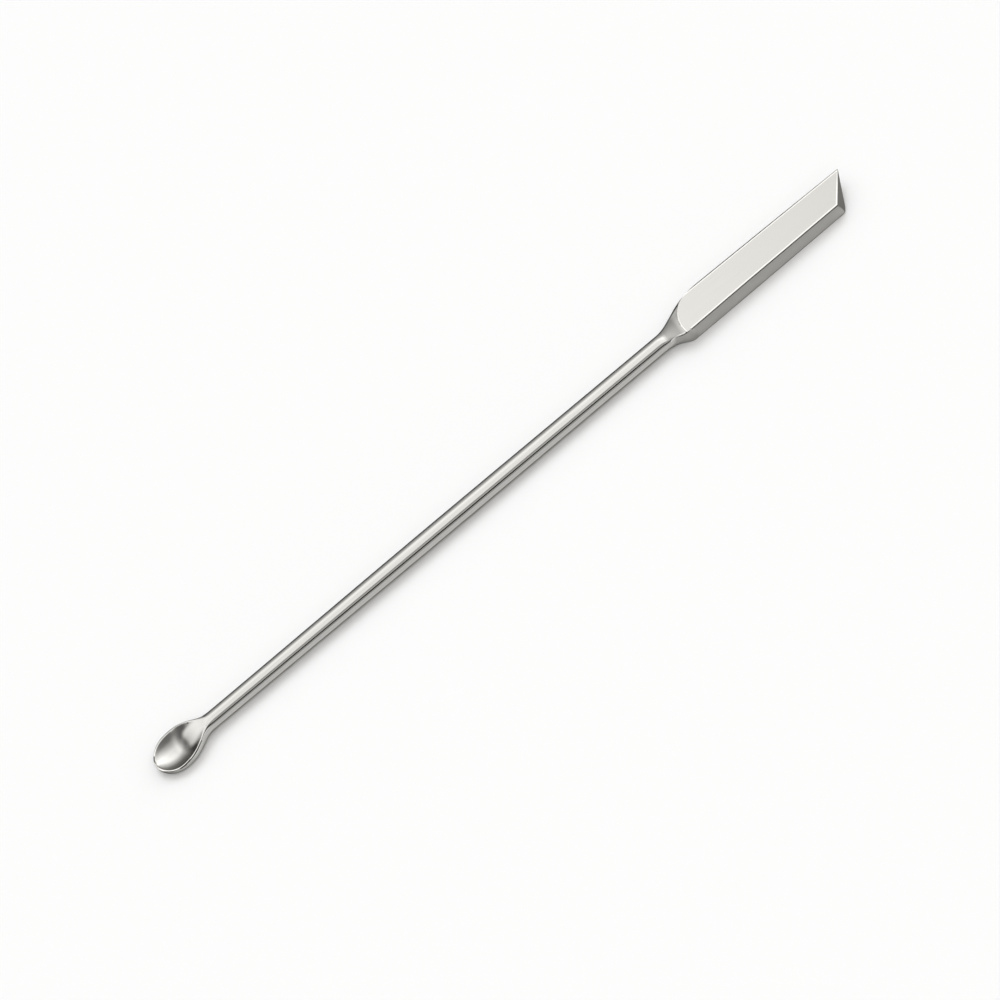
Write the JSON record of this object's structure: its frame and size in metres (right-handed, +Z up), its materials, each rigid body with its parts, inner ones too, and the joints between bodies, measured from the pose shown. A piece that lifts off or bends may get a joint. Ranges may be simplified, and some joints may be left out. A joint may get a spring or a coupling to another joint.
{
  "type": "laboratory spatula",
  "caption": "Slim one-piece steel spatula: a round rod with a small oval spoon at one end and a thick flat blade with a skew-cut chisel tip at the other.",
  "frame": {"origin": "on the bench, at the middle of the box that the spatula fills as it lies", "axes": "+X along the rod from the spoon towards the blade's point, +Y towards the blade's long side, +Z up out of the spoon's hollow"},
  "size_m": [0.15, 0.0074, 0.0034],
  "materials": {
    "steel": "satin"
  },
  "bodies": {
    "root": {"spatula": "steel"}
  },
  "joints": []
}
